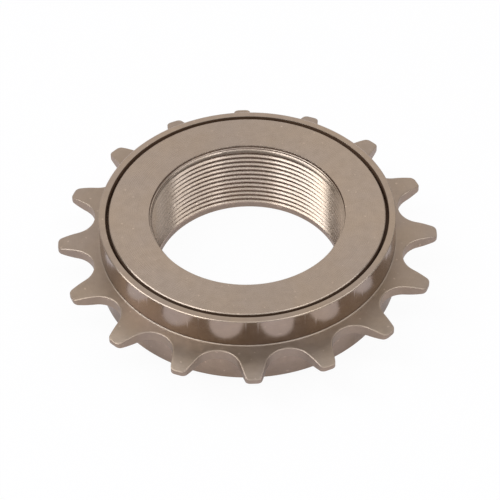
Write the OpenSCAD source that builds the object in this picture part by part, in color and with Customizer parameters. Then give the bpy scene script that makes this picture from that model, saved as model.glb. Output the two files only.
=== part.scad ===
// Single-speed bicycle freewheel. A toothed ring turns on two rows of loose
// balls round a threaded inner body, and drives it one way through two pawls.
// The axis is Z. The hub-side face is up, and the outboard end stands on z = 0.
// All sizes are in millimetres.

/* [Teeth] */
// Number of chain teeth
teeth = 16; // [16:1:22]
// Chain pitch, half an inch
chain_pitch = 12.7; // [12.6:0.05:13.2]
// Play between a chain roller and its seat
seat_play = 0.18; // [0.1:0.01:0.3]
// How far the seat centres lie inside the pitch circle
seat_drop = 0.25; // [0.1:0.05:0.4]
// Lean of the straight tooth flanks from the radial direction
flank_angle = 27.5; // [25:0.5:30]
// Height of the tooth tips above the pitch circle
tooth_rise = 1.55; // [1.2:0.05:1.8]
// Radius of the tooth tip corners
tip_corner_r = 0.95; // [0.6:0.05:1.1]
// Thickness of the toothed plate
plate_t = 2.1; // [1.8:0.1:2.6]
// Radius of the arcs that thin both sides of the teeth
relief_r = 12.7; // [11:0.1:16]
// Radial length of the thinned part of each tooth
relief_l = 3.3; // [2.5:0.1:3.7]
// Distance that the relief arcs' centres lie inside the thinned part
relief_lead = 0.3; // [0.1:0.05:0.5]

/* [Ring] */
// Height of the ring's outboard edge above the outboard end
ring_z = 1.45; // [1:0.05:2]
// Width of the rim that shows round the hub-side face
rim_w = 1.2; // [1:0.05:1.6]
// Extra radius of the ring below the teeth
skirt_step = 0.45; // [0.2:0.05:0.8]
// Depth of the toothed plate's upper side below the hub-side face
plate_drop = 5.85; // [5.5:0.05:6.5]
// Radius of the fillet where the rim's wall meets the toothed plate
foot_fillet = 0.25; // [0.1:0.05:0.6]
// Chamfer on the rim's outer edge
rim_chamfer = 0.15; // [0.05:0.05:0.4]
// Chamfer on the ring's outboard edge
skirt_chamfer = 0.4; // [0.1:0.05:0.6]

/* [Inner body] */
// Height of the inner body, which is the height of the whole part
body_h = 15.25; // [14.9:0.05:16]
// Radius of the hub thread's crests
bore_r = 16.85; // [16.5:0.05:17]
// Width of the chamfer at the hub-side mouth of the bore
bore_chamfer_w = 0.75; // [0.4:0.05:0.9]
// Height of that chamfer
bore_chamfer_h = 1.3; // [0.6:0.05:1.6]
// Chamfer at the outboard mouth of the bore
bore_end_chamfer = 0.2; // [0.1:0.05:0.4]
// Thickness of the flange that covers the hub-side balls
flange_t = 1.7; // [1.4:0.05:1.9]
// Chamfer on the flange's edge
flange_chamfer = 0.15; // [0.05:0.05:0.3]
// Wall of the outboard end that the lock ring screws onto
collar_wall = 2.8; // [2.6:0.05:3.2]
// Chamfer on that end
collar_chamfer = 0.35; // [0.1:0.05:0.6]
// Width of the two notches for the remover tool
notch_w = 4.8; // [4:0.1:6]
// Depth of the remover notches along the axis
notch_h = 3; // [2:0.1:3.6]
// Depth of the remover notches into the bore's wall
notch_cut = 1.9; // [1.2:0.05:2.1]

/* [Lock ring] */
// Distance that the lock ring stands out beyond the ring's outboard edge
lock_proud = 0.25; // [0:0.05:0.5]
// Wall of the lock ring's nose, under the balls
nose_wall = 1.3; // [1.2:0.05:1.5]
// Thickness of the lock ring's flange
lock_t = 1.6; // [1.4:0.05:1.8]
// Length of the lock ring's nose beyond the ball centres
lock_nose = 0.4; // [0.2:0.05:0.5]
// Chamfer on the lock ring's outboard edge
lock_chamfer = 0.3; // [0.1:0.05:0.5]
// Radius of each pin hole
pin_hole_r = 1.15; // [0.9:0.05:1.3]
// Depth of each pin hole
pin_hole_h = 1.1; // [0.6:0.05:1.2]
// Thickness of one adjusting shim
shim_t = 0.2; // [0.1:0.05:0.25]

/* [Ball bearings] */
// Diameter of the loose balls, an eighth of an inch
ball_d = 3.175; // [3:0.025:3.2]
// Distance that both covers reach beyond the ball races
cover_lap = 0.4; // [0.3:0.05:0.8]

/* [Ratchet] */
// Number of ratchet teeth inside the ring
ratchet_teeth = 24; // [20:4:28]
// Depth of the ratchet teeth
ratchet_depth = 1; // [0.8:0.05:1.1]
// Distance of the ratchet's floor inside the circle of ball centres
ratchet_inset = 0.1; // [0.05:0.05:0.3]
// Width of each ratchet tooth's crest, as an angle
crest_angle = 1.8; // [1:0.1:3]
// Width of the flat floor beside each driving face, as an angle
floor_angle = 3; // [2:0.1:4]
// Distance along the barrel from a pawl's nose to its heel
pawl_reach = 6.2; // [5.8:0.1:6.6]
// Radius of a pawl's round heel
heel_r = 1.2; // [1.1:0.05:1.3]
// Depth of the heel's centre under the barrel's surface
heel_inset = 1.65; // [1.6:0.05:1.8]
// Thickness of a pawl where it leaves its heel
pawl_root_t = 1.9; // [1.6:0.05:2]
// Thickness of a pawl at its nose
pawl_nose_t = 1.8; // [1.5:0.05:2]
// Depth of solid barrel left at each end of a pawl's pocket
pocket_end = 0.45; // [0.3:0.05:0.6]
// Room in the pocket beyond the nose of a pawl that is pressed in
pocket_toe = 0.35; // [0.3:0.05:0.6]
// Room in the pocket under that nose, for the spring
spring_room = 0.95; // [0.9:0.05:1.1]
// Direction from a heel's centre in which its socket's lip stands
lip_direction = 98; // [94:1:104]
// Direction from a heel's centre in which its socket meets the floor
socket_direction = -60; // [-70:1:-50]
// Thickness of a pawl spring's strip
spring_t = 0.2; // [0.15:0.01:0.22]
// Distance that a spring's sides lie inside its pawl's
spring_inset = 0.2; // [0.1:0.05:0.4]

/* [Clearances] */
// Gap round the flange and round the lock ring, as it shows on the face
face_gap = 0.7; // [0.4:0.05:0.8]
// Gap along the axis between those flanges and the ring
ledge_gap = 0.3; // [0.2:0.05:0.4]
// Gap between the balls and their races
race_gap = 0.06; // [0.04:0.01:0.08]
// Smallest gap between neighbouring balls
ball_gap = 0.15; // [0.1:0.01:0.3]
// Gap between the ratchet crests and the barrel
barrel_gap = 0.3; // [0.2:0.05:0.4]
// Gap between the crests and a pawl that is pressed in
pawl_gap = 0.1; // [0.08:0.01:0.15]
// Gap between a pawl's heel and its socket
heel_gap = 0.05; // [0.03:0.01:0.08]
// Gap at each side of a pawl in its pocket
pawl_side_gap = 0.1; // [0.05:0.01:0.2]
// Gap between a pressed spring and its pawl
spring_gap = 0.08; // [0.05:0.01:0.1]
// Gap of the lock ring's thread and of the shims on the collar
thread_gap = 0.05; // [0.03:0.01:0.08]
// Gap between the shims and the path of the balls
shim_gap = 0.15; // [0.1:0.05:0.3]

/* [Hidden] */
$fn = 96;

// Distance that cutting shapes reach past the solid that they cut
over = 1;
// Overlap of a line and the arc that it runs into, so that no sliver is left
lap = 0.002;
// Number of adjusting shims, each with its own node
shim_count = 3;
// Azimuths of the tooth at the back, the pawls, the notches and the pin holes
tooth_azimuth = 90;
pawl_azimuths = [90, 270];
notch_azimuths = [0, 180];
pin_azimuths = [45, 225];

steel = [0.56, 0.49, 0.43];
bright_steel = [0.74, 0.73, 0.71];
dark_steel = [0.36, 0.34, 0.33];
shim_steel = [0.66, 0.64, 0.58];

// The teeth, for a chain whose rollers are five eighths of its pitch wide
pitch_r = chain_pitch / (2 * sin(180 / teeth));
seat_r = chain_pitch * 5 / 16 + seat_play;
seat_circle_r = pitch_r - seat_drop;
tip_r = pitch_r + tooth_rise;
relief_start_r = tip_r - relief_l;

// The radii, from the bore outwards
ball_r = ball_d / 2;
race_r = ball_r + race_gap;
collar_r = bore_r + collar_wall;
neck_r = collar_r + nose_wall;
ball_circle_r = neck_r + race_r;
cup_r = ball_circle_r + race_r;
cover_r = cup_r + cover_lap;
rim_inner_r = cover_r + face_gap;
rim_r = rim_inner_r + rim_w;
skirt_r = rim_r + skirt_step;
floor_r = ball_circle_r - ratchet_inset;
crest_r = floor_r - ratchet_depth;
barrel_r = crest_r - barrel_gap;

// The levels, from the hub-side face down and from the outboard end up
plate_top_z = body_h - plate_drop;
plate_z = plate_top_z - plate_t;
flange_z = body_h - flange_t;
hub_row_z = flange_z - race_r;
rib_top_z = hub_row_z - race_r;
lock_face_z = ring_z - lock_proud;
lock_top_z = lock_face_z + lock_t;
outboard_row_z = lock_top_z + race_r;
rib_z = outboard_row_z + race_r;

ball_count = floor(360 / (2 * asin((ball_d + ball_gap) / (2 * ball_circle_r))));

// The lock ring's nose, the shims and the shoulder that they meet
nose_z = outboard_row_z + lock_nose;
shoulder_z = nose_z + shim_count * shim_t;
shim_inner_r = collar_r + thread_gap;
shim_outer_r = neck_r - shim_gap;

// A pawl is laid out with its nose on the Y axis and its heel beside it
pocket_z = rib_z + pocket_end;
pocket_w = rib_top_z - rib_z - 2 * pocket_end;
pawl_w = pocket_w - 2 * pawl_side_gap;
spring_w = pawl_w - 2 * spring_inset;
heel_circle_r = barrel_r - heel_inset;
heel = [-pawl_reach, sqrt(pow(heel_circle_r, 2) - pow(pawl_reach, 2))];
nose_out = [0, floor_r - pawl_gap];
nose_length = norm(nose_out - heel);
pawl_swing = heel_angle(crest_r - pawl_gap) - heel_angle(nose_out.y);
nose_in = heel + turned(nose_out - heel, -pawl_swing);
nose_under = nose_in + pawl_nose_t * turned([0, -1], -pawl_swing);
pawl_across = turned((nose_in - heel) / nose_length, 90);
root_top = heel + pawl_root_t / 2 * pawl_across;
root_under = heel - pawl_root_t / 2 * pawl_across;
// The driving faces stand clear of the path that a nose swings along
drive_lead = asin((nose_in.x + pawl_gap) / crest_r);

// The pocket's floor and the spring that lies on it
floor_heel = heel + heel_r * direction(socket_direction);
floor_toe = [nose_in.x + pocket_toe, nose_under.y - spring_room];
floor_tilt = tilt(floor_toe - floor_heel);
under_tilt = tilt(nose_under - root_under) - floor_tilt;
under_point = turned(nose_under - floor_heel, -floor_tilt);
under_height = under_point.y - under_point.x * tan(under_tilt);
spring_stack = spring_t + spring_t / cos(under_tilt) + spring_gap;
spring_fold = (spring_stack - under_height) / tan(under_tilt);
spring_l = norm(floor_toe - floor_heel) - spring_fold - pocket_toe;

// Unit vector at an angle from the X axis
function direction(a) = [cos(a), sin(a)];
// A point turned round the origin
function turned(p, a) = [p.x * cos(a) - p.y * sin(a), p.x * sin(a) + p.y * cos(a)];
// Angle of a vector from the X axis
function tilt(v) = atan2(v.y, v.x);
// Angle at a pawl's heel between the axis and the nose, for the nose at radius r
function heel_angle(r) = acos(
    (pow(r, 2) - pow(heel_circle_r, 2) - pow(nose_length, 2))
    / (2 * heel_circle_r * nose_length)
);

// A point on the right flank of a tooth gap that is centred on the Y axis
flank_dir = [sin(flank_angle), cos(flank_angle)];
flank_out = [cos(flank_angle), -sin(flank_angle)];
flank_foot = [0, seat_circle_r] + (seat_r - lap) * flank_out;
// Centre of the rounded tip corner, which touches the flank and the tip circle
corner_line = flank_foot + (tip_corner_r - lap) * flank_out;
corner_run = sqrt(pow(corner_line * flank_dir, 2) - pow(norm(corner_line), 2)
    + pow(tip_r - tip_corner_r + lap, 2)) - corner_line * flank_dir;
corner = corner_line + corner_run * flank_dir;

// What the rounded tip corner beside a gap takes away
module corner_cut() {
    flank_touch = corner - (tip_corner_r + tip_corner_r / 2) * flank_out;
    difference() {
        polygon([
            corner,
            flank_touch,
            flank_touch + 2 * tip_corner_r * flank_dir,
            corner * (tip_r + over) / norm(corner)
        ]);
        translate(corner)
            circle(tip_corner_r);
    }
}

// One gap between two teeth, centred on the Y axis
module gap_outline() {
    flank_end = flank_foot + (tip_r + over - flank_foot.y) / flank_dir.y * flank_dir;
    translate([0, seat_circle_r])
        circle(seat_r);
    polygon([
        flank_foot,
        flank_end,
        [-flank_end.x, flank_end.y],
        [-flank_foot.x, flank_foot.y]
    ]);
    corner_cut();
    mirror([1, 0])
        corner_cut();
}

// What the relief takes from the upper side of the plate's section
module relief_cut() {
    translate([relief_start_r - relief_lead, 0])
        difference() {
            square([relief_lead + relief_l + over, plate_t / 2 + over]);
            translate([0, plate_t / 2 - sqrt(pow(relief_r, 2) - pow(relief_lead, 2))])
                circle(relief_r);
        }
}

// Section of the toothed plate, from inside the ring's wall to the tips
module plate_section() {
    difference() {
        translate([rim_inner_r + rim_w / 2, -plate_t / 2])
            square([tip_r - rim_inner_r - rim_w / 2, plate_t]);
        relief_cut();
        mirror([0, 1])
            relief_cut();
    }
}

module toothed_plate() {
    half_pitch = 180 / teeth;
    difference() {
        translate([0, 0, plate_z + plate_t / 2])
            rotate_extrude()
                plate_section();
        translate([0, 0, plate_z - over])
            linear_extrude(height = plate_t + 2 * over)
                for (i = [0:teeth - 1])
                    rotate(tooth_azimuth - 90 + half_pitch + i * 360 / teeth)
                        gap_outline();
    }
}

// Section of the ring's wall and of the rib that carries the ratchet
module ring_section() {
    difference() {
        polygon([
            [crest_r, rib_z],
            [ball_circle_r, rib_z],
            [cup_r, outboard_row_z],
            [cup_r, lock_top_z + ledge_gap],
            [rim_inner_r, lock_top_z + ledge_gap],
            [rim_inner_r, ring_z],
            [skirt_r - skirt_chamfer, ring_z],
            [skirt_r, ring_z + skirt_chamfer],
            [skirt_r, plate_z + plate_t / 2],
            [rim_r + foot_fillet, plate_z + plate_t / 2],
            [rim_r + foot_fillet, plate_top_z],
            [rim_r, plate_top_z + foot_fillet],
            [rim_r, body_h - rim_chamfer],
            [rim_r - rim_chamfer, body_h],
            [rim_inner_r, body_h],
            [rim_inner_r, flange_z - ledge_gap],
            [cup_r, flange_z - ledge_gap],
            [cup_r, hub_row_z],
            [ball_circle_r, rib_top_z],
            [crest_r, rib_top_z]
        ]);
        translate([ball_circle_r, hub_row_z])
            circle(race_r);
        translate([ball_circle_r, outboard_row_z])
            circle(race_r);
        translate([rim_r + foot_fillet - lap, plate_top_z + foot_fillet - lap])
            circle(foot_fillet);
    }
}

// One notch of the ratchet, with its driving face on the Y axis
module ratchet_notch() {
    step = 360 / ratchet_teeth;
    inner_r = crest_r - ratchet_depth;
    polygon([
        inner_r * direction(90),
        floor_r * direction(90),
        floor_r * direction(90 + floor_angle),
        crest_r * direction(90 + step - crest_angle),
        inner_r * direction(90 + step - crest_angle)
    ]);
}

module sprocket_ring() {
    color(steel)
        difference() {
            union() {
                rotate_extrude()
                    ring_section();
                toothed_plate();
            }
            translate([0, 0, rib_z - over])
                linear_extrude(height = rib_top_z - rib_z + 2 * over)
                    for (i = [0:ratchet_teeth - 1])
                        rotate(pawl_azimuths[0] - 90 - drive_lead + i * 360 / ratchet_teeth)
                            ratchet_notch();
        }
}

// Section of the inner body, with the hub-side ball race under its flange
module body_section() {
    difference() {
        polygon([
            [bore_r + bore_end_chamfer, 0],
            [collar_r - collar_chamfer, 0],
            [collar_r, collar_chamfer],
            [collar_r, shoulder_z],
            [neck_r, shoulder_z],
            [neck_r, rib_z],
            [barrel_r, rib_z],
            [barrel_r, rib_top_z],
            [neck_r, rib_top_z],
            [neck_r, hub_row_z],
            [ball_circle_r, flange_z],
            [cover_r, flange_z],
            [cover_r, body_h - flange_chamfer],
            [cover_r - flange_chamfer, body_h],
            [bore_r + bore_chamfer_w, body_h],
            [bore_r, body_h - bore_chamfer_h],
            [bore_r, bore_end_chamfer]
        ]);
        translate([ball_circle_r, hub_row_z])
            circle(race_r);
    }
}

// Outline of a pawl's pocket, with the round socket for the heel
module pocket_outline() {
    translate(heel)
        circle(heel_r + heel_gap);
    polygon([
        heel,
        floor_heel,
        floor_toe,
        [floor_toe.x, barrel_r + over],
        [heel.x, barrel_r + over] + [(barrel_r + over - heel.y) / tan(lip_direction), 0]
    ]);
}

module inner_body() {
    color(steel)
        difference() {
            rotate_extrude()
                body_section();
            for (a = pawl_azimuths)
                rotate(a - 90)
                    translate([0, 0, pocket_z])
                        linear_extrude(height = pocket_w)
                            pocket_outline();
            for (a = notch_azimuths)
                rotate(a)
                    translate([bore_r - over, -notch_w / 2, -over])
                        cube([notch_cut + over, notch_w, notch_h + over]);
        }
}

// Section of the lock ring, whose nose is the outboard cone
module lock_section() {
    difference() {
        polygon([
            [shim_inner_r, lock_face_z],
            [cover_r - lock_chamfer, lock_face_z],
            [cover_r, lock_face_z + lock_chamfer],
            [cover_r, lock_top_z],
            [ball_circle_r, lock_top_z],
            [neck_r, outboard_row_z],
            [neck_r, nose_z],
            [shim_inner_r, nose_z]
        ]);
        translate([ball_circle_r, outboard_row_z])
            circle(race_r);
    }
}

module lock_ring() {
    color(steel)
        difference() {
            rotate_extrude()
                lock_section();
            for (a = pin_azimuths)
                rotate(a)
                    translate([ball_circle_r, 0, lock_face_z - over])
                        cylinder(r = pin_hole_r, h = pin_hole_h + over);
        }
}

module shim(i) {
    color(shim_steel)
        translate([0, 0, nose_z + i * shim_t])
            difference() {
                cylinder(r = shim_outer_r, h = shim_t);
                translate([0, 0, -over])
                    cylinder(r = shim_inner_r, h = shim_t + 2 * over);
            }
}

module ball_row(z) {
    color(bright_steel)
        for (i = [0:ball_count - 1])
            rotate(i * 360 / ball_count)
                translate([ball_circle_r, 0, z])
                    sphere(ball_r);
}

// A pawl, pressed in as it is while the ring runs over it
module pawl(i) {
    color(dark_steel)
        rotate(pawl_azimuths[i] - 90)
            translate([0, 0, pocket_z + pawl_side_gap])
                linear_extrude(height = pawl_w) {
                    translate(heel)
                        circle(heel_r);
                    polygon([root_top, root_under, nose_under, nose_in]);
                }
}

// A leaf spring, folded once and pressed nearly shut under its pawl
module pawl_spring(i) {
    color(bright_steel)
        rotate(pawl_azimuths[i] - 90)
            translate([0, 0, pocket_z + pawl_side_gap + spring_inset])
                linear_extrude(height = spring_w)
                    translate(floor_heel)
                        rotate(floor_tilt)
                            translate([spring_fold, 0]) {
                                square([spring_l, spring_t]);
                                translate([0, spring_t])
                                    circle(spring_t);
                                translate([0, spring_t])
                                    rotate(under_tilt)
                                        square([spring_l, spring_t]);
                            }
}

sprocket_ring();
inner_body();
lock_ring();
shim(0);  // shim_1
shim(1);  // shim_2
shim(2);  // shim_3
ball_row(hub_row_z);  // hub_side_balls
ball_row(outboard_row_z);  // outboard_balls
pawl(0);  // pawl_1
pawl(1);  // pawl_2
pawl_spring(0);  // pawl_spring_1
pawl_spring(1);  // pawl_spring_2
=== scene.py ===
"""Dresses a single-speed bicycle freewheel for its portrait.

The CAD model gives the frame. The toothed ring, the inner body and the lock ring are modelled again
here, from the same sizes, with broken edges and with the hub thread. The other pieces keep their shapes.
"""

from math import acos, asin, atan2, cos, degrees, pi, radians, sin, sqrt, tan

import bmesh
import bpy
from mathutils import Matrix, Quaternion, Vector


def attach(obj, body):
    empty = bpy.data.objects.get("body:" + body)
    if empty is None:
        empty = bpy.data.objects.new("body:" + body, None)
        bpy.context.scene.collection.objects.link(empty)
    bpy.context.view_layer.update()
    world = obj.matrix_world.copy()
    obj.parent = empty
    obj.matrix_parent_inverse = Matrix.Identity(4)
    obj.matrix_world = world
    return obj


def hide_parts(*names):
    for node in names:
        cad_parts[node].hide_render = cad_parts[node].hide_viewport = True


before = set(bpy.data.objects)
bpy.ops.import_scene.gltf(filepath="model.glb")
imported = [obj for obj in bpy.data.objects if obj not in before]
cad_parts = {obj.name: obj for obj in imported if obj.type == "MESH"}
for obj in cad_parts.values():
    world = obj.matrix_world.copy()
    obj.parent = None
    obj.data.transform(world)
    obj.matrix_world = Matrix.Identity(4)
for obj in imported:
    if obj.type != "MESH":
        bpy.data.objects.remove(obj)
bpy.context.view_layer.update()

MM = 0.001

# Sizes in millimetres, as in the CAD source
TEETH = 16
CHAIN_PITCH = 12.7
SEAT_PLAY = 0.18
SEAT_DROP = 0.25
FLANK_ANGLE = 27.5
TOOTH_RISE = 1.55
TIP_CORNER_R = 0.95
PLATE_T = 2.1
RELIEF_R = 12.7
RELIEF_L = 3.3
RELIEF_LEAD = 0.3
RING_Z = 1.45
RIM_W = 1.2
SKIRT_STEP = 0.45
PLATE_DROP = 5.85
BODY_H = 15.25
BORE_R = 16.85
BORE_CHAMFER_W = 0.75
BORE_CHAMFER_H = 1.3
BORE_END_CHAMFER = 0.2
FLANGE_T = 1.7
COLLAR_WALL = 2.8
COLLAR_CHAMFER = 0.35
NOTCH_W = 4.8
NOTCH_H = 3
NOTCH_CUT = 1.9
LOCK_PROUD = 0.25
NOSE_WALL = 1.3
LOCK_T = 1.6
LOCK_NOSE = 0.4
LOCK_CHAMFER = 0.3
PIN_HOLE_R = 1.15
PIN_HOLE_H = 1.1
SHIM_STACK = 0.6
BALL_D = 3.175
RACE_GAP = 0.06
COVER_LAP = 0.4
FACE_GAP = 0.7
LEDGE_GAP = 0.3
RATCHET_TEETH = 24
RATCHET_DEPTH = 1
RATCHET_INSET = 0.1
CREST_ANGLE = 1.8
FLOOR_ANGLE = 3
BARREL_GAP = 0.3
THREAD_GAP = 0.05
PAWL_REACH = 6.2
PAWL_NOSE_T = 1.8
PAWL_SWING = 8.906
PAWL_GAP = 0.1
HEEL_INSET = 1.65
HEEL_R = 1.2
HEEL_GAP = 0.05
POCKET_END = 0.45
POCKET_TOE = 0.35
SPRING_ROOM = 0.95
POCKET_WIDENING = 0.2
LIP_DIRECTION = 98
SOCKET_DIRECTION = -60

# Azimuths in degrees, as in the CAD source
PAWL_AZIMUTHS = (90, 270)
NOTCH_AZIMUTHS = (0, 180)
PIN_AZIMUTHS = (45, 225)

# The hub thread, 24 turns to the inch, with a plain land below it: sizes in millimetres, the angle of
# its flanks, and the azimuth that it starts at and the angle that it runs in over, all in degrees
THREAD_PITCH = 25.4 / 24
THREAD_CREST_W = 0.11
THREAD_CREST_BREAK = 0.02
THREAD_ROOT_W = 0.37
THREAD_FLANK_ANGLE = 30
THREAD_START_Z = 1.29
THREAD_START_GAP = 0.05
THREAD_START_AZIMUTH = 224
THREAD_RUN_IN = 80

# Broken edges: the radius of a machined edge, the width and height of the shallow chamfers on the rim
# and the flange, the size of the one inside the rim, and the width and height of the fillet at the
# rim's foot and of the edge round the teeth
EDGE = 0.06
BREAK_W = 0.19
BREAK_H = 0.12
RIM_INNER_BREAK = 0.06
FOOT_W = 0.2
FOOT_H = 0.12
TOOTH_EDGE_W = 0.2
TOOTH_EDGE_H = 0.16

# Form of the edge round the teeth, in shares of its width still to go and of its height gone down
TOOTH_EDGE_FORM = ((1, 0), (0.88, 0.03), (0.12, 0.61), (0, 1))

# Width of the plain ring of plate beside the rim's foot
PLAIN_PLATE_W = 0.4

# Tool marks in the bore's chamfer: how far each lies below the face and how wide its tread is, and the
# angle in degrees that the treads slope at
MOUTH_STEPS = ((0, 0.12), (0.45, 0.16), (0.85, 0.1))
TREAD_ANGLE = 30

# The running gap is narrower than the solids' gap, by this much on each side, as the photo shows
GAP_TRIM = 0.04

# The skirt's lower edge is broken less than the solid's, as its outline in the photo shows
SKIRT_CHAMFER = 0.12

# Keeps the finer tooth tips inside the solid's box
TIP_TRIM = 0.002

# How far a cutter reaches beyond what it cuts
CUTTER_LAP = 1

# Points that a cut leaves closer together than this are made one
MERGE_DISTANCE = 0.0001

# Numbers of steps along curves
TURN_STEPS = 360
THREAD_STEPS = 240
CORNER_STEPS = 3
RACE_STEPS = 6
SOCKET_STEPS = 20
PIN_HOLE_STEPS = 48
SEAT_STEPS = 12
FLANK_STEPS = 4
TIP_CORNER_STEPS = 8
TIP_STEPS = 4
PLATE_STEPS = 7

# Angle in degrees from which an edge is shown sharp
SHARP_ANGLE = 32

# The white backdrop that metal shows: its azimuth and elevation, the angles within which it is white
# and beyond which it ends, how much its width is pressed together, and the level of the room round it
BACKDROP = (94, 28)
BACKDROP_INNER = 20
BACKDROP_OUTER = 42
BACKDROP_PRESS = 0.6
ROOM_LEVEL = 0.36

# Turning marks: their width in metres on a face, and how densely they lie on a wall beside that
MARK_WIDTH = 0.00012
MARK_SLANT = 0.83

# Noise in the steel: its scale in cycles a metre and its detail
CLOUDS = (90, 3)
MOTTLE = (700, 5)
FLECKS = (1500, 0)
GRAIN = (3500, 2)

# Levels that most of the noise lies between, and those that most of the clouds lie between
NOISE_RANGE = (0.3, 0.7)
CLOUD_RANGE = (0.35, 0.65)

# Tones that the turning marks and the mottle give the colour, and what they add to the roughness
MARK_TONES = (0.93, 1.05)
MOTTLE_TONES = (0.93, 1.06)
MARK_ROUGHNESS = 0.04
MOTTLE_ROUGHNESS = (-0.02, 0.03)

# Noise levels between which a small fleck appears, and how much brighter than the steel it is
FLECK_RANGE = (0.79, 0.82)
FLECK_GAIN = 1.35

# Height of the grain beside that of the turning marks, and the strength and depth in metres of both
GRAIN_HEIGHT = 0.12
BUMP_STRENGTH = 0.35
BUMP_DEPTH = 0.00002

# Turns the streaks of light across the turning marks, in full turns
STREAK_ROTATION = 0.25

# Anisotropy of the plate and its teeth
PLATE_ANISOTROPY = 0.55

# Painted light on the thread: how much brighter the crests (a painted highlight) and the roots are
# painted than the other steel, and the depths in millimetres between which the one passes into the other
CREST_PAINTED_LIGHT = 0.35
ROOT_PAINTED_LIGHT = 0.06
CREST_DEPTH = 0.02
ROOT_DEPTH = 0.2

# Radius in millimetres that the whole thread lies within, and the hub-side face outside
THREAD_LIMIT_R = 17.45

# Colour of the painted shade in the running gaps, and how much rougher than the steel it is
GAP_PAINTED_SHADE = (0.16, 0.085, 0.045)
GAP_SHADE_ROUGHNESS = 0.4

# Width in millimetres of the blend at the edge of a looks zone, and how far one keeps from a wall
BLEND_W = 0.05
WALL_CLEARANCE = 0.02

# Strength of the even light on matt surfaces
EVEN_LIGHT = 0.5

# The floor: half its width in millimetres, its matt colour, the share of plain white that metal shows
# of it, and the share that the camera sees
FLOOR_SIZE = 1500
FLOOR_COLOUR = (0.92, 0.87, 0.92)
FLOOR_IN_METAL = 0.22
FLOOR_WHITE = 0.95

# The lamps: azimuth, elevation and roll in degrees, width and height in metres, and power in watts
LAMPS = {
    "left_lamp": (183, 56, 43, 0.46, 0.18, 1.35),
    "right_lamp": (352, 59, -43, 0.4, 0.15, 0.55),
    "overhead_lamp": (270, 76, 0, 0.5, 0.24, 0.7),
    "right_fill": (34, 35, 0, 0.3, 0.26, 0.12),
}
LAMP_DISTANCE = 0.6
LAMP_COLOUR = (0.87, 0.94, 1)

# Derived sizes in millimetres
pitch_r = CHAIN_PITCH / (2 * sin(pi / TEETH))
seat_r = CHAIN_PITCH * 5 / 16 + SEAT_PLAY
seat_circle_r = pitch_r - SEAT_DROP
tip_r = pitch_r + TOOTH_RISE - TIP_TRIM
relief_centre_r = tip_r - RELIEF_L - RELIEF_LEAD
race_r = BALL_D / 2 + RACE_GAP
collar_r = BORE_R + COLLAR_WALL
neck_r = collar_r + NOSE_WALL
ball_circle_r = neck_r + race_r
cup_r = ball_circle_r + race_r
cover_r = cup_r + COVER_LAP
rim_inner_r = cover_r + FACE_GAP
rim_r = rim_inner_r + RIM_W
skirt_r = rim_r + SKIRT_STEP
floor_r = ball_circle_r - RATCHET_INSET
crest_r = floor_r - RATCHET_DEPTH
barrel_r = crest_r - BARREL_GAP
plate_top_z = BODY_H - PLATE_DROP
plate_z = plate_top_z - PLATE_T
flange_z = BODY_H - FLANGE_T
hub_row_z = flange_z - race_r
rib_top_z = hub_row_z - race_r
lock_face_z = RING_Z - LOCK_PROUD
lock_top_z = lock_face_z + LOCK_T
outboard_row_z = lock_top_z + race_r
rib_z = outboard_row_z + race_r
nose_z = outboard_row_z + LOCK_NOSE
shoulder_z = nose_z + SHIM_STACK

# A pawl at rest, pressed in, with its nose near the Y axis and its heel beside it
heel_circle_r = barrel_r - HEEL_INSET
heel = Vector((-PAWL_REACH, sqrt(heel_circle_r ** 2 - PAWL_REACH ** 2)))
nose_out = Vector((0, floor_r - PAWL_GAP))
inward = Matrix.Rotation(-radians(PAWL_SWING), 2)
nose = heel + inward @ (nose_out - heel)
nose_under = nose + PAWL_NOSE_T * (inward @ Vector((0, -1)))
drive_lead = degrees(asin((nose.x + PAWL_GAP) / crest_r))



def polar(radius, azimuth, z):
    """A point in space, from its radius, its azimuth in radians and its height."""
    return (radius * cos(azimuth), radius * sin(azimuth), z)


def direction(azimuth, elevation):
    """A direction in space, from angles in degrees."""
    return Vector(polar(cos(radians(elevation)), radians(azimuth), sin(radians(elevation))))


def arc(centre, radius, start, end, steps):
    """Points of an arc in a section, from one angle in degrees to another."""
    angles = [radians(start + (end - start) * i / steps) for i in range(steps + 1)]
    return [(centre[0] + radius * cos(a), centre[1] + radius * sin(a)) for a in angles]


def rounded_corner(before, corner, after, radius):
    """The corner of a section, rounded to a radius."""
    p = Vector(corner)
    to_before = (Vector(before) - p).normalized()
    to_after = (Vector(after) - p).normalized()
    half = acos(max(-1, min(1, to_before.dot(to_after)))) / 2
    centre = p + (to_before + to_after).normalized() * radius / sin(half)
    first = p + to_before * radius / tan(half) - centre
    turn = pi - 2 * half
    if first.x * to_before.y - first.y * to_before.x > 0:
        turn = -turn
    points = []
    for i in range(CORNER_STEPS + 1):
        a = turn * i / CORNER_STEPS
        points.append((
            centre.x + first.x * cos(a) - first.y * sin(a),
            centre.y + first.x * sin(a) + first.y * cos(a),
        ))
    return points


def section(corners):
    """A line in a section. Its corners are (radius, height) or (radius, height, edge radius)."""
    points = []
    for i, corner in enumerate(corners):
        if len(corner) == 2 or i in (0, len(corners) - 1):
            points.append(tuple(corner[:2]))
        else:
            before = corners[i - 1][:2]
            after = corners[i + 1][:2]
            points += rounded_corner(before, corner[:2], after, corner[2])
    return points


def mesh_object(name, points, faces):
    """An object from points in millimetres, with its faces turned outwards."""
    mesh = bpy.data.meshes.new(name)
    mesh.from_pydata([tuple(MM * c for c in p) for p in points], [], faces)
    work = bmesh.new()
    work.from_mesh(mesh)
    bmesh.ops.recalc_face_normals(work, faces=work.faces)
    work.to_mesh(mesh)
    work.free()
    obj = bpy.data.objects.new(name, mesh)
    bpy.context.collection.objects.link(obj)
    return obj


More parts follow.
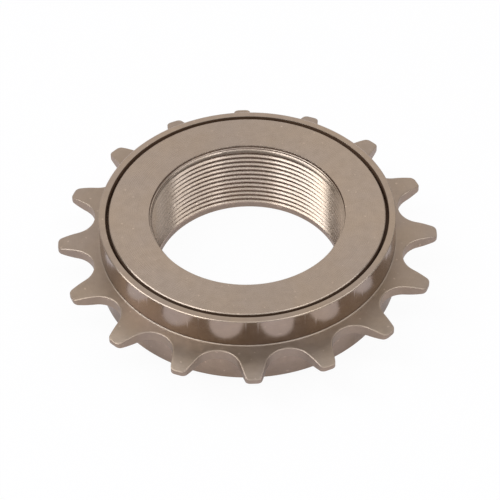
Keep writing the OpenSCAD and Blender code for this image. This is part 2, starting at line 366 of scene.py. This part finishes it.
def closed_grid(name, columns):
    """A ring-shaped mesh through equally long closed columns of points."""
    rows = len(columns[0])
    points = [p for column in columns for p in column]
    faces = []
    for c in range(len(columns)):
        after = (c + 1) % len(columns)
        for r in range(rows):
            above = (r + 1) % rows
            faces.append((c * rows + r, after * rows + r, after * rows + above, c * rows + above))
    return mesh_object(name, points, faces)


def lathe(name, outline):
    """A section turned round the axis."""
    turns = [2 * pi * i / TURN_STEPS for i in range(TURN_STEPS)]
    return closed_grid(name, [[polar(r, a, z) for r, z in outline] for a in turns])


def prism(name, outline, low, high):
    """An upright prism on an outline in the plane."""
    count = len(outline)
    points = [(x, y, low) for x, y in outline] + [(x, y, high) for x, y in outline]
    faces = [tuple(range(count)), tuple(range(count, 2 * count))]
    for i in range(count):
        after = (i + 1) % count
        faces.append((i, after, count + after, count + i))
    return mesh_object(name, points, faces)


def turned(outline, azimuth):
    """An outline in the plane, turned round the axis by degrees."""
    c = cos(radians(azimuth))
    s = sin(radians(azimuth))
    return [(x * c - y * s, x * s + y * c) for x, y in outline]


def merge_points(mesh):
    """Makes one point of those that a cut leaves on top of each other."""
    work = bmesh.new()
    work.from_mesh(mesh)
    bmesh.ops.remove_doubles(work, verts=work.verts, dist=MM * MERGE_DISTANCE)
    work.to_mesh(mesh)
    work.free()


def cut(obj, cutters):
    """Takes the cutters away from an object."""
    for cutter in cutters:
        modifier = obj.modifiers.new("cut", "BOOLEAN")
        modifier.object = cutter
        modifier.operation = "DIFFERENCE"
        modifier.solver = "MANIFOLD"
    graph = bpy.context.evaluated_depsgraph_get()
    result = bpy.data.meshes.new_from_object(obj.evaluated_get(graph))
    merge_points(result)
    obj.modifiers.clear()
    obj.data = result
    for cutter in cutters:
        bpy.data.objects.remove(cutter)


def shade(obj):
    """Shades smoothly across broken edges and keeps flat faces flat."""
    obj.data.shade_smooth()
    obj.data.set_sharp_from_angle(angle=radians(SHARP_ANGLE))
    modifier = obj.modifiers.new("even_shading", "WEIGHTED_NORMAL")
    modifier.keep_sharp = True
    modifier.weight = 100


def half_gap():
    """Points and outward directions of one side of a tooth gap that is centred on the Y axis."""
    lean = radians(FLANK_ANGLE)
    along = Vector((sin(lean), cos(lean)))
    across = Vector((cos(lean), -sin(lean)))
    seat = Vector((0, seat_circle_r))
    foot = seat + seat_r * across
    line = foot + TIP_CORNER_R * across
    level = line.dot(along)
    run = sqrt(level ** 2 - line.length_squared + (tip_r - TIP_CORNER_R) ** 2) - level
    corner = line + run * along
    points = []
    for i in range(SEAT_STEPS + 1):
        a = radians(-90 + (90 - FLANK_ANGLE) * i / SEAT_STEPS)
        out = Vector((cos(a), sin(a)))
        points.append((seat + seat_r * out, -out))
    for i in range(1, FLANK_STEPS):
        points.append((foot + run * along * i / FLANK_STEPS, -across))
    start = atan2(-across.y, -across.x)
    end = atan2(corner.y, corner.x)
    for i in range(TIP_CORNER_STEPS + 1):
        a = start + (end - start) * i / TIP_CORNER_STEPS
        out = Vector((cos(a), sin(a)))
        points.append((corner + TIP_CORNER_R * out, out))
    middle = pi / 2 - pi / TEETH
    for i in range(1, TIP_STEPS + 1):
        a = end + (middle - end) * i / TIP_STEPS
        out = Vector((cos(a), sin(a)))
        points.append((tip_r * out, out))
    return points


def tooth_outline():
    """The whole outline of the teeth, as points and outward directions."""
    right = half_gap()
    left = [(Vector((-p.x, p.y)), Vector((-n.x, n.y))) for p, n in right[1:-1]]
    period = left[::-1] + right
    outline = []
    for tooth in range(TEETH):
        turn = Matrix.Rotation(-2 * pi * (tooth + 0.5) / TEETH, 2)
        outline += [(turn @ p, turn @ n) for p, n in period]
    return outline


def relief(radius):
    """How far the teeth are thinned on one side at a radius."""
    if radius <= relief_centre_r + RELIEF_LEAD:
        return 0
    start = sqrt(RELIEF_R ** 2 - RELIEF_LEAD ** 2)
    return start - sqrt(RELIEF_R ** 2 - (radius - relief_centre_r) ** 2)


def plate_side(point, outward, azimuth, start_r):
    """One side of the plate and its rounded edge, as places in the plane and depths below the side."""
    start = Vector((cos(azimuth), sin(azimuth))) * start_r
    end = point - TOOTH_EDGE_W * outward
    places = []
    for i in range(1, PLATE_STEPS):
        p = start.lerp(end, i / PLATE_STEPS)
        places.append((p, relief(p.length)))
    depth = relief(point.length)
    for share, drop in TOOTH_EDGE_FORM:
        places.append((point - share * TOOTH_EDGE_W * outward, depth + drop * TOOTH_EDGE_H))
    return places


def sprocket_ring():
    """The toothed ring, in columns that follow the outline of its teeth."""
    plate_start_r = rim_r + FOOT_W + PLAIN_PLATE_W
    upper = section([
        (rim_inner_r - GAP_TRIM, flange_z - LEDGE_GAP),
        (rim_inner_r - GAP_TRIM, BODY_H - RIM_INNER_BREAK),
        (rim_inner_r - GAP_TRIM + RIM_INNER_BREAK, BODY_H),
        (rim_r - BREAK_W, BODY_H, EDGE / 2),
        (rim_r, BODY_H - BREAK_H, EDGE / 2),
        (rim_r, plate_top_z + FOOT_H, EDGE / 2),
        (rim_r + FOOT_W, plate_top_z, EDGE / 2),
        (plate_start_r, plate_top_z),
    ])
    lower = section([
        (plate_start_r, plate_z),
        (skirt_r, plate_z, EDGE),
        (skirt_r, RING_Z + SKIRT_CHAMFER, EDGE / 2),
        (skirt_r - SKIRT_CHAMFER, RING_Z, EDGE / 2),
        (rim_inner_r, RING_Z, EDGE),
        (rim_inner_r, lock_top_z + LEDGE_GAP),
        (cup_r, lock_top_z + LEDGE_GAP),
    ])
    lower += arc((ball_circle_r, outboard_row_z), race_r, 0, 90, RACE_STEPS)
    lower += [(crest_r, rib_z), (crest_r, rib_top_z)]
    lower += arc((ball_circle_r, hub_row_z), race_r, -90, 0, RACE_STEPS)
    lower += [(cup_r, flange_z - LEDGE_GAP)]
    columns = []
    for point, outward in tooth_outline():
        azimuth = atan2(point.y, point.x)
        side = plate_side(point, outward, azimuth, plate_start_r)
        column = [polar(r, azimuth, z) for r, z in upper]
        column += [(p.x, p.y, plate_top_z - depth) for p, depth in side]
        column += [(p.x, p.y, plate_z + depth) for p, depth in reversed(side)]
        column += [polar(r, azimuth, z) for r, z in lower]
        columns.append(column)
    ring = closed_grid("toothed_ring_visual", columns)
    step = 360 / RATCHET_TEETH
    inner_r = crest_r - RATCHET_DEPTH
    notch = [(r * cos(radians(a)), r * sin(radians(a))) for r, a in (
        (inner_r, 90),
        (floor_r, 90),
        (floor_r, 90 + FLOOR_ANGLE),
        (crest_r, 90 + step - CREST_ANGLE),
        (inner_r, 90 + step - CREST_ANGLE),
    )]
    lead = PAWL_AZIMUTHS[0] - 90 - drive_lead
    notches = [turned(notch, lead + i * step) for i in range(RATCHET_TEETH)]
    cut(ring, [prism("notch", n, rib_z - CUTTER_LAP, rib_top_z + CUTTER_LAP) for n in notches])
    return ring


def thread_cutter():
    """A helical bar that cuts a right-hand thread into the bore."""
    mouth = (THREAD_PITCH - THREAD_CREST_W) / 2
    depth = (mouth - THREAD_ROOT_W / 2) / tan(radians(THREAD_FLANK_ANGLE))
    lower = [
        (-THREAD_CREST_BREAK, -mouth - 1.5 * THREAD_CREST_BREAK),
        (THREAD_CREST_BREAK, -mouth + 0.5 * THREAD_CREST_BREAK),
        (depth, -THREAD_ROOT_W / 2),
    ]
    bar = lower + [(x, -y) for x, y in reversed(lower)]
    turns = (BODY_H + THREAD_PITCH - THREAD_START_Z) / THREAD_PITCH
    start = radians(THREAD_START_AZIMUTH)
    points = []
    count = int(turns * THREAD_STEPS)
    for i in range(count + 1):
        turn = i / THREAD_STEPS
        lift = max(0, 1 - turn * 360 / THREAD_RUN_IN) * (depth + THREAD_START_GAP)
        for radial, axial in bar:
            z = THREAD_START_Z + turn * THREAD_PITCH + axial
            points.append(polar(BORE_R + radial - lift, start + 2 * pi * turn, z))
    size = len(bar)
    faces = [tuple(range(size)), tuple(range(count * size, (count + 1) * size))]
    for i in range(count):
        for k in range(size):
            after = (k + 1) % size
            faces.append((
                i * size + k,
                i * size + after,
                (i + 1) * size + after,
                (i + 1) * size + k,
            ))
    return mesh_object("thread_cutter", points, faces)


def pawl_pocket(azimuth):
    """The pocket that one pawl and its spring lie in."""
    socket = arc(heel, HEEL_R + HEEL_GAP, LIP_DIRECTION, 360 + SOCKET_DIRECTION, SOCKET_STEPS)
    left = socket[0][0] - POCKET_WIDENING
    right = nose.x + POCKET_TOE
    top = barrel_r + CUTTER_LAP
    outline = socket + [(right, nose_under.y - SPRING_ROOM), (right, top), (left, top)]
    return prism("pocket", turned(outline, azimuth - 90), rib_z + POCKET_END, rib_top_z - POCKET_END)


def inner_body():
    """The threaded inner body, with its pawl pockets and remover notches."""
    outline = section([
        (BORE_R + BORE_END_CHAMFER, 0, EDGE),
        (collar_r - COLLAR_CHAMFER, 0, EDGE),
        (collar_r, COLLAR_CHAMFER, EDGE),
        (collar_r, shoulder_z),
        (neck_r, shoulder_z),
        (neck_r, rib_z),
        (barrel_r, rib_z, EDGE),
        (barrel_r, rib_top_z, EDGE),
        (neck_r, rib_top_z),
    ])
    outline += arc((ball_circle_r, hub_row_z), race_r, 180, 90, RACE_STEPS)
    mouth = []
    for drop, tread in MOUTH_STEPS:
        r = BORE_R + BORE_CHAMFER_W * (1 - drop / BORE_CHAMFER_H) + tread / 2
        slope = tread * tan(radians(TREAD_ANGLE))
        mouth += [(r, BODY_H - drop), (r - tread, BODY_H - drop - slope)]
    outline += section([
        (ball_circle_r, flange_z),
        (cover_r + GAP_TRIM, flange_z, EDGE),
        (cover_r + GAP_TRIM, BODY_H - BREAK_H, EDGE / 2),
        (cover_r + GAP_TRIM - BREAK_W, BODY_H, EDGE / 2),
        *mouth,
        (BORE_R, BODY_H - BORE_CHAMFER_H),
        (BORE_R, BORE_END_CHAMFER),
    ])[1:]
    body = lathe("threaded_body_visual", outline)
    cutters = [thread_cutter()]
    cutters += [pawl_pocket(a) for a in PAWL_AZIMUTHS]
    half = NOTCH_W / 2
    inner = BORE_R - CUTTER_LAP
    outer = BORE_R + NOTCH_CUT
    notch = [(inner, -half), (outer, -half), (outer, half), (inner, half)]
    cutters += [prism("notch", turned(notch, a), -CUTTER_LAP, NOTCH_H) for a in NOTCH_AZIMUTHS]
    cut(body, cutters)
    return body


def lock_ring():
    """The lock ring with its two blind pin holes."""
    bore = collar_r + THREAD_GAP
    outline = section([
        (bore, nose_z, EDGE),
        (bore, lock_face_z, EDGE),
        (cover_r - LOCK_CHAMFER, lock_face_z, EDGE),
        (cover_r, lock_face_z + LOCK_CHAMFER, EDGE),
        (cover_r, lock_top_z, EDGE),
        (ball_circle_r, lock_top_z),
    ])
    outline += arc((ball_circle_r, outboard_row_z), race_r, 270, 180, RACE_STEPS)[1:]
    outline += [(neck_r, nose_z)]
    ring = lathe("lock_ring_visual", outline)
    holes = []
    for azimuth in PIN_AZIMUTHS:
        centre = polar(ball_circle_r, radians(azimuth), 0)
        hole = arc(centre, PIN_HOLE_R, 0, 360, PIN_HOLE_STEPS)[:-1]
        holes.append(prism("pin_hole", hole, lock_face_z - CUTTER_LAP, lock_face_z + PIN_HOLE_H))
    cut(ring, holes)
    return ring


def node(tree, kind, inputs=None, **settings):
    """A shader node with its settings and inputs. An input is a value or another node's output."""
    made = tree.nodes.new(kind)
    for key, value in settings.items():
        setattr(made, key, value)
    for key, value in (inputs or {}).items():
        if isinstance(value, bpy.types.NodeSocket):
            tree.links.new(value, made.inputs[key])
        else:
            made.inputs[key].default_value = value
    return made


def calculate(tree, operation, *values):
    """The output of a Math node."""
    return node(tree, "ShaderNodeMath", dict(enumerate(values)), operation=operation).outputs[0]


def noise(tree, place, scale, detail):
    """The grey output of a noise texture in space."""
    return node(tree, "ShaderNodeTexNoise", {
        "Vector": place,
        "Scale": scale,
        "Detail": detail,
        "Roughness": 0.6,
    }).outputs[0]


def ramp(tree, value, low, high, start, end):
    """A value mapped from one range to another."""
    return node(tree, "ShaderNodeMapRange", {
        "Value": value,
        "From Min": low,
        "From Max": high,
        "To Min": start,
        "To Max": end,
    }).outputs[0]


def between(tree, value, low, high):
    """1 where a length lies between two lengths in millimetres, with a narrow blend outside them."""
    above = ramp(tree, value, MM * (low - BLEND_W), MM * low, 0, 1)
    below = ramp(tree, value, MM * high, MM * (high + BLEND_W), 1, 0)
    return calculate(tree, "MULTIPLY", above, below)


def blend_colours(tree, factor, first, second):
    """The output of a blend of two colours."""
    return node(tree, "ShaderNodeMix", {0: factor, 6: first, 7: second}, data_type="RGBA").outputs[2]


def on_the_plate(tree, radius, height):
    """1 on the foot of the rim, the plate and its teeth, and 0 on the walls."""
    start = rim_r + WALL_CLEARANCE
    beyond_rim = ramp(tree, radius, MM * start, MM * (start + BLEND_W), 0, 1)
    return calculate(tree, "MULTIPLY", beyond_rim, between(tree, height, plate_z, plate_top_z + FOOT_H))


def in_the_gap(tree, radius, height):
    """1 in the running gaps, where shade is painted, and 0 elsewhere."""
    across = between(tree, radius, cover_r + GAP_TRIM, rim_inner_r - GAP_TRIM)
    below = between(tree, height, RING_Z + 2 * BREAK_H, BODY_H - BREAK_H - RIM_INNER_BREAK)
    return calculate(tree, "MULTIPLY", across, below)


def painted_thread_light(tree, radius, height):
    """Painted light on the thread, a painted highlight brightest on its crests, and 1 everywhere else.
    """
    within = between(tree, radius, 0, THREAD_LIMIT_R)
    below = between(tree, height, THREAD_START_Z, BODY_H - BORE_CHAMFER_H)
    crest = MM * (BORE_R + CREST_DEPTH)
    root = MM * (BORE_R + ROOT_DEPTH)
    gain = ramp(tree, radius, crest, root, CREST_PAINTED_LIGHT, ROOT_PAINTED_LIGHT)
    return calculate(tree, "MULTIPLY_ADD", calculate(tree, "MULTIPLY", within, below), gain, 1)


def turning_marks(tree, radius, height):
    """The grey output of fine rings round the axis, on faces and on walls."""
    along = calculate(tree, "ADD", radius, calculate(tree, "MULTIPLY", height, MARK_SLANT))
    return node(tree, "ShaderNodeTexNoise", {
        "W": along,
        "Scale": 1 / MARK_WIDTH,
        "Detail": 3,
        "Roughness": 0.7,
    }, noise_dimensions="1D").outputs[0]


def steel(name, colour, cool, roughness, marks=0.25, anisotropy=0.6, satin=0, outside=False):
    """Turned steel: fine rings round the axis, soft clouds of a cooler tint, mottle and small flecks.

    The height of the rings' relief is marks. The plate is rougher than the walls by satin. Steel that
    is seen from outside has painted shade in the running gaps and painted light on the thread, brightest
    on its crests.
    """
    material = bpy.data.materials.new(name)
    material.use_nodes = True
    tree = material.node_tree
    shader = tree.nodes["Principled BSDF"]
    place = node(tree, "ShaderNodeTexCoord").outputs["Object"]
    flat = node(tree, "ShaderNodeVectorMath", {0: place, 1: (1, 1, 0)}, operation="MULTIPLY").outputs[0]
    radius = node(tree, "ShaderNodeVectorMath", {0: flat}, operation="LENGTH").outputs["Value"]
    height = node(tree, "ShaderNodeSeparateXYZ", {0: place}).outputs["Z"]
    rings = turning_marks(tree, radius, height)
    grain = noise(tree, place, *GRAIN)
    mottle = noise(tree, place, *MOTTLE)
    clouds = ramp(tree, noise(tree, place, *CLOUDS), *CLOUD_RANGE, 0, 1)
    flecks = ramp(tree, noise(tree, place, *FLECKS), *FLECK_RANGE, 1, FLECK_GAIN)
    tint = blend_colours(tree, clouds, (*colour, 1), (*cool, 1))
    ring_tone = ramp(tree, rings, *NOISE_RANGE, *MARK_TONES)
    mottle_tone = ramp(tree, mottle, *NOISE_RANGE, *MOTTLE_TONES)
    tone = calculate(tree, "MULTIPLY", calculate(tree, "MULTIPLY", ring_tone, mottle_tone), flecks)
    # Painted light on the thread: its crests and roots are painted brighter than the steel
    if outside:
        tone = calculate(tree, "MULTIPLY", tone, painted_thread_light(tree, radius, height))
    toned = node(tree, "ShaderNodeVectorMath", {0: tint, "Scale": tone}, operation="SCALE").outputs[0]
    ring_rough = ramp(tree, rings, *NOISE_RANGE, roughness - MARK_ROUGHNESS, roughness + MARK_ROUGHNESS)
    mottle_rough = ramp(tree, mottle, *NOISE_RANGE, *MOTTLE_ROUGHNESS)
    rough = calculate(tree, "ADD", ring_rough, mottle_rough)
    shader.inputs["Metallic"].default_value = 1
    shader.inputs["Anisotropic"].default_value = anisotropy
    shader.inputs["Anisotropic Rotation"].default_value = STREAK_ROTATION
    if satin:
        plate = on_the_plate(tree, radius, height)
        rough = calculate(tree, "MULTIPLY_ADD", plate, satin, rough)
        stretch = ramp(tree, plate, 0, 1, anisotropy, PLATE_ANISOTROPY)
        tree.links.new(stretch, shader.inputs["Anisotropic"])
    if outside:
        # Painted shade in the running gaps: a dark, rougher, non-metallic colour
        gap = in_the_gap(tree, radius, height)
        toned = blend_colours(tree, gap, toned, (*GAP_PAINTED_SHADE, 1))
        rough = calculate(tree, "MULTIPLY_ADD", gap, GAP_SHADE_ROUGHNESS, rough)
        tree.links.new(ramp(tree, gap, 0, 1, 1, 0), shader.inputs["Metallic"])
    grain_height = calculate(tree, "MULTIPLY", grain, GRAIN_HEIGHT)
    bump = node(tree, "ShaderNodeBump", {
        "Strength": BUMP_STRENGTH,
        "Distance": BUMP_DEPTH,
        "Height": calculate(tree, "MULTIPLY_ADD", rings, marks, grain_height),
    })
    round_axis = node(tree, "ShaderNodeTangent", direction_type="RADIAL", axis="Z")
    tree.links.new(toned, shader.inputs["Base Color"])
    tree.links.new(rough, shader.inputs["Roughness"])
    tree.links.new(bump.outputs[0], shader.inputs["Normal"])
    tree.links.new(round_axis.outputs[0], shader.inputs["Tangent"])
    return material


def give_material(obj, material):
    """Gives an object one material."""
    obj.data.materials.clear()
    obj.data.materials.append(material)


def seen_as_white(tree, in_metal):
    """1 for rays that look straight at a background, and in_metal for rays that metal sends to it."""
    path = node(tree, "ShaderNodeLightPath").outputs
    direct = calculate(tree, "MAXIMUM", path["Is Camera Ray"], path["Is Transmission Ray"])
    mirrored = calculate(tree, "MULTIPLY", path["Is Glossy Ray"], in_metal)
    return calculate(tree, "MAXIMUM", direct, mirrored)


def blend_shaders(tree, factor, first, second, out):
    """Sends a blend of two shaders to an output node."""
    mixed = node(tree, "ShaderNodeMixShader", {0: factor})
    tree.links.new(first.outputs[0], mixed.inputs[1])
    tree.links.new(second.outputs[0], mixed.inputs[2])
    tree.links.new(mixed.outputs[0], out.inputs[0])


def beyond_backdrop(tree):
    """1 where the sky lies outside the backdrop, and 0 inside it."""
    away = node(tree, "ShaderNodeTexCoord").outputs["Generated"]
    press = (BACKDROP_PRESS, 1, 1)
    pressed = node(tree, "ShaderNodeVectorMath", {0: away, 1: press}, operation="MULTIPLY")
    unit = node(tree, "ShaderNodeVectorMath", {0: pressed.outputs[0]}, operation="NORMALIZE")
    centre = tuple(direction(*BACKDROP))
    both = {0: unit.outputs[0], 1: centre}
    nearness = node(tree, "ShaderNodeVectorMath", both, operation="DOT_PRODUCT")
    outer = cos(radians(BACKDROP_OUTER))
    inner = cos(radians(BACKDROP_INNER))
    return ramp(tree, nearness.outputs["Value"], outer, inner, 1, 0)


def studio_world():
    """Even light all round that is white to look at. Metal shows a white backdrop in a dimmer room."""
    world = bpy.data.worlds.new("studio")
    world.use_nodes = True
    tree = world.node_tree
    light = tree.nodes["Background"]
    light.inputs["Color"].default_value = (1, 1, 1, 1)
    light.inputs["Strength"].default_value = EVEN_LIGHT
    glossy = node(tree, "ShaderNodeLightPath").outputs["Is Glossy Ray"]
    room = calculate(tree, "MULTIPLY", glossy, beyond_backdrop(tree))
    level = calculate(tree, "MULTIPLY_ADD", room, ROOM_LEVEL - 1, 1)
    white = node(tree, "ShaderNodeBackground", {"Color": (1, 1, 1, 1), "Strength": level})
    blend_shaders(tree, seen_as_white(tree, 1), light, white, tree.nodes["World Output"])
    bpy.context.scene.world = world


def studio_floor():
    """A white floor that keeps a soft trace of the object's shadow."""
    corners = [(x * FLOOR_SIZE, y * FLOOR_SIZE, 0) for x, y in ((-1, -1), (1, -1), (1, 1), (-1, 1))]
    floor = mesh_object("floor", corners, [(0, 1, 2, 3)])
    material = bpy.data.materials.new("floor_white")
    material.use_nodes = True
    tree = material.node_tree
    tree.nodes.remove(tree.nodes["Principled BSDF"])
    matt = node(tree, "ShaderNodeBsdfDiffuse", {"Color": (*FLOOR_COLOUR, 1)})
    glow = node(tree, "ShaderNodeEmission", {"Color": (1, 1, 1, 1), "Strength": 1})
    seen = calculate(tree, "MINIMUM", seen_as_white(tree, FLOOR_IN_METAL), FLOOR_WHITE)
    blend_shaders(tree, seen, matt, glow, tree.nodes["Material Output"])
    give_material(floor, material)


def lamp(name, azimuth, elevation, roll, width, height, power):
    """A soft lamp of daylight colour that points at the object."""
    data = bpy.data.lights.new(name, "AREA")
    data.shape = "RECTANGLE"
    data.size = width
    data.size_y = height
    data.energy = power
    data.color = LAMP_COLOUR
    obj = bpy.data.objects.new(name, data)
    bpy.context.collection.objects.link(obj)
    away = direction(azimuth, elevation)
    obj.location = away * LAMP_DISTANCE
    turn = away.to_track_quat("Z", "Y") @ Quaternion((0, 0, 1), radians(roll))
    obj.rotation_euler = turn.to_euler()


def camera():
    """The photograph's viewpoint: distance and offsets in metres, angles in degrees."""
    distance = 0.46476
    elevation = radians(45.71)
    roll = radians(1.135)
    azimuth = radians(-1)
    right_offset = -0.00052
    up_offset = 0.006589
    focal_px = 2607.8
    frame_px = 500
    right = Vector((1, 0, 0))
    up = Vector((0, sin(elevation), cos(elevation)))
    back = Vector((0, -cos(elevation), sin(elevation)))
    along = -right_offset * cos(roll) - up_offset * sin(roll)
    above = right_offset * sin(roll) - up_offset * cos(roll)
    spin = Matrix.Rotation(azimuth, 3, "Z")
    place = spin @ (right * along + up * above + back * distance)
    axes = (
        spin @ (right * cos(roll) - up * sin(roll)),
        spin @ (right * sin(roll) + up * cos(roll)),
        spin @ back,
    )
    place.z += BODY_H * MM
    data = bpy.data.cameras.new("camera")
    data.sensor_width = 36
    data.lens = focal_px / frame_px * data.sensor_width
    data.clip_start = 0.01
    obj = bpy.data.objects.new("camera", data)
    bpy.context.collection.objects.link(obj)
    obj.matrix_world = Matrix.Translation(place) @ Matrix(axes).transposed().to_4x4()
    bpy.context.scene.camera = obj


ring_steel = steel(
    "ring_steel", (0.39, 0.296, 0.222), (0.372, 0.29, 0.234), 0.2,
    anisotropy=0.5, satin=0.22, outside=True,
)
body_steel = steel("body_steel", (0.415, 0.318, 0.244), (0.4, 0.315, 0.256), 0.27, outside=True)
shim_steel = steel("shim_steel", (0.5, 0.48, 0.44), (0.47, 0.46, 0.44), 0.25)
ball_steel = steel("bearing_steel", (0.72, 0.71, 0.69), (0.7, 0.7, 0.7), 0.08, marks=0, anisotropy=0)
pawl_steel = steel("pawl_steel", (0.2, 0.19, 0.18), (0.17, 0.17, 0.18), 0.4, anisotropy=0)
spring_steel = steel("spring_steel", (0.45, 0.44, 0.43), (0.4, 0.4, 0.41), 0.25, anisotropy=0)

rebuilt = (
    (sprocket_ring, "sprocket_ring", "toothed_ring", "ring_steel", ring_steel),
    (inner_body, "inner_body", "hub_body", "body_steel", body_steel),
    (lock_ring, "lock_ring", "hub_body", "body_steel", body_steel),
)
for build, cad_node, body, slot, material in rebuilt:
    piece = build()
    shade(piece)
    give_material(piece, material)
    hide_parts(cad_node)
    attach(piece, body)

kept = {
    "shim_1": shim_steel,
    "shim_2": shim_steel,
    "shim_3": shim_steel,
    "hub_side_balls": ball_steel,
    "outboard_balls": ball_steel,
    "pawl_1": pawl_steel,
    "pawl_2": pawl_steel,
    "pawl_spring_1": spring_steel,
    "pawl_spring_2": spring_steel,
}
for cad_node, material in kept.items():
    give_material(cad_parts[cad_node], material)

studio_world()
studio_floor()
for name, settings in LAMPS.items():
    lamp(name, *settings)
camera()
bpy.context.scene.view_settings.view_transform = "Standard"
